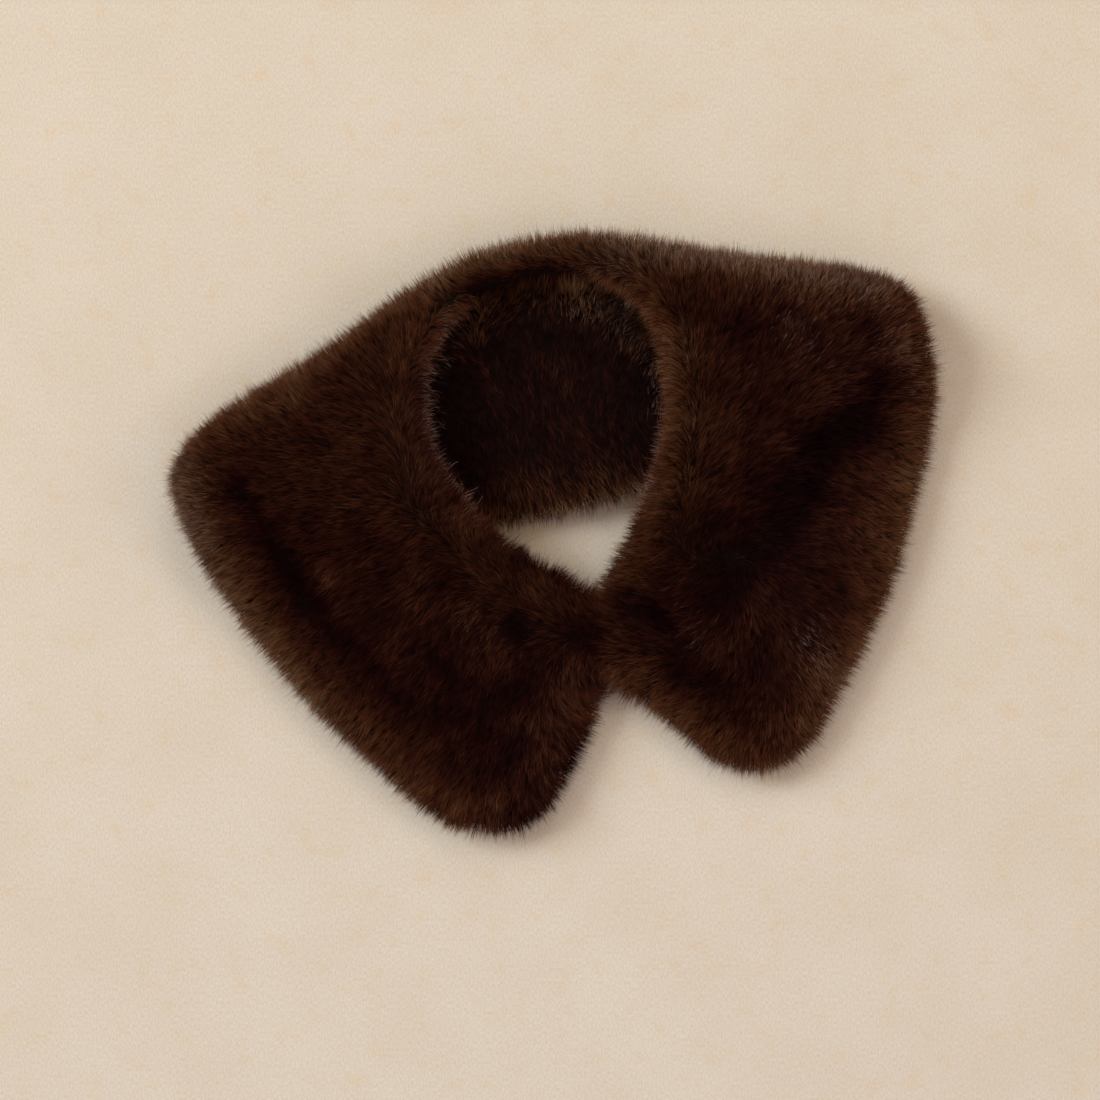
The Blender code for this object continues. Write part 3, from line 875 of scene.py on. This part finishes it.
@dataclass
class Pile:
    """One kind of pile on one wall, grown as a joined mesh of tapered blades."""

    rim: Rim
    wall: Wall
    combing: Combing
    fibre: Fibre
    count: int
    base_tone: float
    # Depth of the roots in the backing, then the lowest that a strand lies on the floor and how unevenly.
    rooted: float = 0.5 * MM
    floor_clearance: float = 0.4 * MM
    floor_unevenness: float = 0.2 * MM
    # Share of the strands that a wall's face on the floor has, against one that shows.
    beneath: float = 0.08
    # The pile turns into that of an edge over this distance.
    edge_band: float = 14.0 * MM
    # Shortest strand as a share of the fibre's length, what the longest adds, and how rare long ones are.
    lengths: tuple = (0.70, 0.50, 1.4)
    # Spread of the length from tuft to tuft, and how much shorter the pile is at an edge, as shares.
    tuft_spread: float = 0.08
    edge_trim: float = 0.12
    # Share of the strands that stray, how many times that an edge adds, and how much longer they are.
    stray: float = 0.05
    edge_strays: float = 2.0
    stray_length: float = 1.3
    # What an upright stroke takes from the lean, then what is left of it at a parting and how wide that is.
    raised: float = 0.7
    parted_lean: float = 0.65
    parted: float = 0.7
    # Spread of the lean in degrees, of tufts and of strands, and how far a tip droops.
    lean_spread: float = 5.0
    droop: float = 0.16
    # How far blades turn on their strands.
    twist: float = 0.5
    # How much lighter the pile is at an edge, painted sheen where its strands turn side-on to the light, and
    # how far in that reaches.
    edge_light: float = 0.28
    light_reach: float = 27.0 * MM
    # Uneven tone: its strength, the size of its patches and their place in the noise.
    patches: tuple = ((0.14, 16.0 * MM, 21.0), (0.08, 4.0 * MM, 31.0))
    # How much lighter a parting is, how wide it is, the spread between strands, and the ends of the tones.
    parting_light: float = 0.08
    parting: float = 0.6
    tone_spread: float = 0.09
    tone_ends: tuple = (0.01, 0.82)
    # Lowest tone that stands for a strand with a painted sheen tip, and the room above it.
    sheen_tip_tones: tuple = (0.92, 0.06)

    @property
    def name(self) -> str:
        """The piece's name."""
        return f"{self.wall.name}_{self.fibre.kind}"

    def roots(self, rng: np.random.Generator) -> tuple[np.ndarray, np.ndarray, np.ndarray]:
        """Where the strands grow.

        Args:
            rng: The seeded random numbers.

        Returns:
            Roots on the backing, the fur's surface over them, and the surface's normals.
        """
        wall = self.wall
        # Faces that look down are thinned: at 53 degrees from straight down not yet, at 18 degrees fully.
        down = self.beneath + (1 - self.beneath) * eased((wall.face_normals[:, 2] + 0.95) / 0.35)
        rows, shares = wall.sampled(self.count, rng, wall.area * wall.shows * down)
        normal = unit(wall.blended(wall.normals, rows, shares))
        root = wall.blended(wall.drawn_in, rows, shares)
        return root - self.rooted * normal, wall.blended(wall.points, rows, shares), normal

    def leaders(self, root: np.ndarray) -> np.ndarray:
        """The middle strand of the tuft that each strand belongs to.

        Args:
            root: The roots of the strands.

        Returns:
            The row of each strand's leader.
        """
        rows = np.arange(0, self.count, self.fibre.tuft_size)
        tree = KDTree(len(rows))
        for row in rows:
            tree.insert(root[row], row)
        tree.balance()
        return np.array([tree.find(place)[1] for place in root.tolist()])

    def strand_lengths(
        self, near_rim: np.ndarray, leader: np.ndarray, rng: np.random.Generator
    ) -> np.ndarray:
        """Length of each strand.

        Args:
            near_rim: How much each strand belongs to an edge, from 0 to 1.
            leader: The row of each strand's leader.
            rng: The seeded random numbers.

        Returns:
            A column of lengths in metres.
        """
        shortest, more, rarity = self.lengths
        length = self.fibre.length * (shortest + more * rng.random((self.count, 1)) ** rarity)
        length = length * (1 + rng.normal(0, self.tuft_spread, self.count)[leader][:, None])
        length = length * (1 - self.edge_trim * near_rim)
        strays = rng.random((self.count, 1)) < self.stray * (1 + self.edge_strays * near_rim)
        return np.where(strays, self.stray_length * length, length)

    def strands(self, rng: np.random.Generator) -> tuple[np.ndarray, np.ndarray, np.ndarray]:
        """Works out the middle line of every strand.

        Args:
            rng: The seeded random numbers.

        Returns:
            Points of each strand from root to tip, the side that its blade spreads to, and its tone.
        """
        fibre = self.fibre
        root, surface, normal = self.roots(rng)
        leader = self.leaders(root)
        heading, from_rim, agreed = self.combing.headings(surface, self.rim, rng)
        turn = rng.normal(0, fibre.tuft_swing, self.count)[leader][:, None]
        heading = heading * np.cos(turn) + np.cross((0, 0, 1), heading) * np.sin(turn)
        near_rim = eased(1 - from_rim / self.edge_band)[:, None]
        length = self.strand_lengths(near_rim, leader, rng)
        side = unit(np.cross(normal, heading) + 1e-9)
        sway = rng.normal(0, fibre.curl, (self.count, 1))
        # The pile stands more upright where a stroke says so, and where it parts.
        upright = (1 - self.raised * brushed(surface, self.combing.strokes, UPRIGHT))[:, None]
        laid = (self.parted_lean + (1 - self.parted_lean) * eased(agreed / self.parted))[:, None]
        tilt = rng.normal(0, self.lean_spread, self.count)[leader][:, None]
        point, points = root, [root]
        steps = len(fibre.taper)
        for step in range(steps):
            share = (step + 0.5) / steps
            lean = laid * (fibre.lean[0] + (fibre.lean[1] - fibre.lean[0]) * share)
            edge = fibre.edge_lean[0] + (fibre.edge_lean[1] - fibre.edge_lean[0]) * share
            lean = upright * (lean + (edge - lean) * near_rim)
            angle = np.radians(lean + tilt + rng.normal(0, self.lean_spread, (self.count, 1)))
            way = normal * np.cos(angle) + heading * np.sin(angle)
            way = way + side * sway * (1 if step % 2 else -1) - np.array([0, 0, self.droop]) * share
            point = point + unit(way) * length / steps
            points.append(point)
        strand = self.gathered(np.stack(points, axis=1), leader, near_rim, rng)
        blade = unit(side + normal * rng.normal(0, self.twist, (self.count, 1)))
        return strand, blade, self.tones(surface, from_rim, agreed, rng)

    def gathered(
        self, strand: np.ndarray, leader: np.ndarray, near_rim: np.ndarray, rng: np.random.Generator
    ) -> np.ndarray:
        """Draws the tips of each tuft together, and keeps every strand above the floor.

        Args:
            strand: Points of each strand.
            leader: The row of each strand's leader.
            near_rim: How much each strand belongs to an edge, from 0 to 1.
            rng: The seeded random numbers.

        Returns:
            The moved points.
        """
        # Tips are drawn further than roots, some strands three times as far as others, and less at an edge.
        along = np.linspace(0, 1, strand.shape[1]) ** 1.4
        pull = self.fibre.tuft * (0.5 + rng.random((self.count, 1))) * (1 - 0.4 * near_rim) * along
        strand = strand + (strand[leader] - strand) * pull[..., None]
        lowest = self.floor_clearance + self.floor_unevenness * rng.random((self.count, 1))
        strand[..., 2] = np.maximum(strand[..., 2], lowest)
        return strand

    def tones(
        self, surface: np.ndarray, from_rim: np.ndarray, agreed: np.ndarray, rng: np.random.Generator
    ) -> np.ndarray:
        """Tone of each strand: 0 is dark and reddish, 0.8 is golden brown, and over 0.9 has a grey tip of
        painted sheen.

        Args:
            surface: The fur's surface over each root.
            from_rim: Distance from the nearest edge.
            agreed: How far the combing agrees. Where it parts, the lighter tips stand over the roots.
            rng: The seeded random numbers.

        Returns:
            One tone for each strand.
        """
        # Painted sheen: the pile is lighter towards its edges.
        light = self.edge_light * np.exp(-((from_rim / self.light_reach) ** 3))
        tone = self.base_tone + self.fibre.tone + light
        # Painted shade in hollows, dents and creases and along the neck edge and closure, painted light on
        # lobes and ridges.
        tone = tone + brushed(surface, self.combing.strokes)
        for strength, size, offset in self.patches:
            tone = tone + strength * drift(surface, size, offset)
        tone = tone + self.parting_light * (1 - eased(agreed / self.parting))
        tone = np.clip(tone + rng.normal(0, self.tone_spread, self.count), *self.tone_ends)
        # Some strands get grey tips: painted sheen.
        sheen_tips = rng.random(self.count) < brushed(surface, self.combing.sheen_tips)
        lowest, room = self.sheen_tip_tones
        return np.where(sheen_tips, lowest + room * rng.random(self.count), tone)

    def blades(self, strand: np.ndarray, blade: np.ndarray, rng: np.random.Generator) -> np.ndarray:
        """Spreads each strand's middle line into a tapered blade.

        Args:
            strand: Points of each strand from root to tip.
            blade: The side that each blade spreads to.
            rng: The seeded random numbers.

        Returns:
            Points of each blade: a pair at the start of each segment, and the tip.
        """
        # One strand is up to a quarter thinner or thicker than the fibre's width.
        thick = self.fibre.width * (0.75 + 0.5 * rng.random(self.count))
        half = blade[:, None] * (np.array(self.fibre.taper) * thick[:, None] / 2)[..., None]
        body = strand[:, :-1]
        pairs = np.stack([body - half, body + half], axis=2).reshape(self.count, -1, 3)
        return np.concatenate([pairs, strand[:, -1:]], axis=1)

    def build(self, rng: np.random.Generator) -> bpy.types.Object:
        """Makes the pile's mesh.

        Args:
            rng: The seeded random numbers.

        Returns:
            The new object, with each strand's tone and its root-to-tip run in the fibre map.
        """
        strand, blade, tone = self.strands(rng)
        points = self.blades(strand, blade, rng)
        size, rings = points.shape[1], strand.shape[1]
        # A blade is a quad for each segment but the last, which is a triangle.
        quads = [(2 * r, 2 * r + 1, 2 * r + 3, 2 * r + 2) for r in range(rings - 2)]
        loops = np.array([corner for quad in quads for corner in quad] + [size - 3, size - 2, size - 1])
        starts = 4 * np.arange(rings - 1)
        first = np.arange(self.count)[:, None]
        mesh = bpy.data.meshes.new(self.name)
        mesh.vertices.add(self.count * size)
        mesh.vertices.foreach_set("co", points.astype(np.float32).ravel())
        mesh.loops.add(self.count * len(loops))
        mesh.loops.foreach_set("vertex_index", (first * size + loops).astype(np.int32).ravel())
        mesh.polygons.add(self.count * len(starts))
        mesh.polygons.foreach_set("loop_start", (first * len(loops) + starts).astype(np.int32).ravel())
        mesh.polygons.foreach_set("use_smooth", np.ones(self.count * len(starts), bool))
        # A strand's strip of the map is 0.0024 wide, so that its corners differ, and the map keeps a margin.
        fibre_map = mesh.uv_layers.new(name=FIBRE_MAP)
        up = np.append(np.repeat(np.linspace(0, 1, rings)[:-1], 2), 1.0)[loops]
        across = np.append(np.tile([-1.0, 1.0], rings - 1), 0.0)[loops]
        u = 0.01 + 0.98 * tone[:, None] + 0.0012 * across
        v = np.broadcast_to(0.02 + 0.96 * up, u.shape)
        fibre_map.data.foreach_set("uv", np.stack([u, v], axis=2).astype(np.float32).ravel())
        mesh.update(calc_edges=True)
        mesh.validate()
        piece = bpy.data.objects.new(self.name, mesh)
        bpy.context.scene.collection.objects.link(piece)
        return piece


@dataclass
class FurWall:
    """One wall of the wrap: its knitted backing and the pile on it."""

    form: Form
    panel: str
    face: Face
    combing: Combing
    guard_hairs: int
    underfur: int
    # How far the backing's points are smoothed towards their neighbours.
    smoothing: float = 0.3
    backing: bpy.types.Object = field(init=False)
    piles: list = field(init=False)

    @property
    def node(self) -> str:
        """Name of the CAD wall."""
        return f"{self.panel}_{self.face.value}"

    def build(self) -> None:
        """Makes the backing and the pile."""
        rng = np.random.default_rng(SEED + sum(map(ord, self.node)))
        wall, rim = self.form.walls[self.node], self.form.rims[self.panel]
        self.backing = self.build_backing(wall)
        self.piles = []
        for fibre, count in ((GUARD_HAIR, self.guard_hairs), (UNDERFUR, self.underfur)):
            pile = Pile(rim, wall, self.combing, fibre, count, BASE_TONES[self.face])
            self.piles.append(pile.build(rng))

    def build_backing(self, wall: Wall) -> bpy.types.Object:
        """Makes the backing: the CAD wall, drawn in from the reach of the pile and smoothed.

        Args:
            wall: The CAD wall.

        Returns:
            The new object.
        """
        shell = wall.mesh.copy()
        for vert, place in zip(shell.verts, wall.drawn_in.tolist()):
            vert.co = place
        axes = {"use_axis_x": True, "use_axis_y": True, "use_axis_z": True}
        bmesh.ops.smooth_vert(shell, verts=shell.verts, factor=self.smoothing, **axes)
        for face in shell.faces:
            face.smooth = True
        mesh = bpy.data.meshes.new(f"{self.node}_backing")
        shell.to_mesh(mesh)
        shell.free()
        piece = bpy.data.objects.new(mesh.name, mesh)
        bpy.context.scene.collection.objects.link(piece)
        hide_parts(self.node)
        return piece

    def dress(self, fibres: bpy.types.Material, knit: bpy.types.Material) -> None:
        """Gives the pieces their finishes and their places in the frame.

        Args:
            fibres: The pile's material.
            knit: The backing's material.
        """
        for piece, material in [(self.backing, knit)] + [(pile, fibres) for pile in self.piles]:
            piece.data.materials.append(material)
            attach(piece, "root")
            piece.data.calc_loop_triangles()
            log.info("%s: %d triangles", piece.name, len(piece.data.loop_triangles))


@dataclass
class Panel:
    """A panel of the wrap: an outer and an inner wall of fur, sewn back to back."""

    name: str
    form: Form
    # The combing of each face, and how many guard hairs and underfur strands it has.
    combings: dict
    hairs: dict
    # The cut as laid flat: its width and length in metres, and its area in square metres.
    flat: tuple
    area: float
    hold: Hold
    rests_on: tuple
    walls: list = field(init=False)

    def build(self) -> None:
        """Makes both walls."""
        self.walls = [
            FurWall(self.form, self.name, face, self.combings[face], *self.hairs[face]) for face in Face
        ]
        for wall in self.walls:
            wall.build()

    def dress(self, fibres: bpy.types.Material, knit: bpy.types.Material) -> None:
        """Args:
            fibres: The pile's material.
            knit: The backing's material.
        """
        for wall in self.walls:
            wall.dress(fibres, knit)


@dataclass
class Studio:
    """Cream paper, a broad window light from the left, softer fills, a warm room and the camera above."""

    paper: bpy.types.Material
    view_width: float = 0.66
    camera_height: float = 2.4
    view_centre: tuple = (-1.5 * MM, -9.3 * MM)
    # The paper reaches this far from the middle, and the camera sees this far.
    floor_reach: float = 3.0
    sight: float = 20.0
    # Each light: its name, place, side in metres, power in watts and colour.
    lights: tuple = (
        ("window_key", (-5.1, 2.3, 3.1), 3.0, 360.0, "EEFAFF"),
        ("top_fill", (0.3, 2.3, 1.9), 1.2, 16.0, "F9FDFF"),
        ("low_fill", (0.0, -0.9, 0.8), 0.8, 2.0, "98C4FF"),
        ("side_fill", (3.0, -0.3, 1.6), 1.6, 18.0, "FFF6EC"),
    )
    # The walls around are lighter than the warm ceiling: a colour and a strength at eye level and overhead.
    walls: tuple = ("FFF8F2", 0.93)
    ceiling: tuple = ("FFCA8C", 0.26)

    def build(self) -> None:
        """Makes the floor, the lights and the camera."""
        shape = bmesh.new()
        bmesh.ops.create_grid(shape, x_segments=2, y_segments=2, size=self.floor_reach)
        mesh = bpy.data.meshes.new("paper_floor")
        shape.to_mesh(mesh)
        shape.free()
        floor = bpy.data.objects.new("paper_floor", mesh)
        bpy.context.scene.collection.objects.link(floor)
        mesh.materials.append(self.paper)
        for name, place, side, power, colour in self.lights:
            light = bpy.data.lights.new(name, "AREA")
            light.energy, light.size, light.color = power, side, linear(colour)[:3]
            lamp = bpy.data.objects.new(name, light)
            lamp.location = place
            lamp.rotation_euler = (-Vector(place)).to_track_quat("-Z", "Y").to_euler()
            bpy.context.scene.collection.objects.link(lamp)
        world = bpy.data.worlds.new("surround")
        world.use_nodes = True
        tree = world.node_tree
        way = add_node(tree, "TexCoord").outputs["Generated"]
        height = add_node(tree, "SeparateXYZ", {0: way}).outputs["Z"]
        links = {0: height, 6: linear(self.walls[0]), 7: linear(self.ceiling[0])}
        colour = add_node(tree, "Mix", links, data_type="RGBA").outputs[2]
        links = {"Value": height, "To Min": self.walls[1], "To Max": self.ceiling[1]}
        strength = add_node(tree, "MapRange", links).outputs[0]
        surround = tree.nodes["Background"]
        tree.links.new(colour, surround.inputs["Color"])
        tree.links.new(strength, surround.inputs["Strength"])
        bpy.context.scene.world = world
        lens = bpy.data.cameras.new("camera")
        lens.lens = lens.sensor_width * self.camera_height / self.view_width
        lens.clip_end = self.sight
        camera = bpy.data.objects.new("camera", lens)
        camera.location = (*self.view_centre, self.camera_height)
        bpy.context.scene.collection.objects.link(camera)
        bpy.context.scene.camera = camera
        bpy.context.scene.view_settings.view_transform = "Standard"


def clear_scene() -> None:
    """Removes the startup objects."""
    for thing in list(bpy.data.objects):
        bpy.data.objects.remove(thing)


def main() -> None:
    """Builds and dresses the wrap, then the studio."""
    logging.basicConfig(level=logging.INFO, format="%(message)s")
    clear_scene()
    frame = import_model()
    form = Form(frame["nodes"])
    combings = {
        Face.OUTER: Combing(OUTER_COMBING, OUTER_STROKES, SHEEN_TIP_STROKES),
        Face.INNER: Combing(INNER_COMBING, INNER_STROKES, SHEEN_TIP_STROKES),
    }
    front_hairs = {Face.OUTER: (36000, 56000), Face.INNER: (3000, 3000)}
    back_hairs = {Face.OUTER: (15000, 12000), Face.INNER: (14000, 14000)}
    backs = ("back_inner",)
    panels = (
        Panel("front_left", form, combings, front_hairs, (0.215, 0.273), 0.0467, Hold.FOLDED, backs),
        Panel("front_right", form, combings, front_hairs, (0.188, 0.297), 0.0454, Hold.FOLDED, backs),
        Panel("back", form, combings, back_hairs, (0.475, 0.20), 0.0539, Hold.LAID, ()),
    )
    fibres = PileFinish("faux_fur_fibre_modacrylic_dark_brown").build()
    knit = BackingFinish("faux_fur_backing_polyester_knit").build()
    for panel in panels:
        panel.build()
        panel.dress(fibres, knit)
    Studio(PaperFinish("cream_paper").build()).build()


if __name__ == "__main__":
    main()
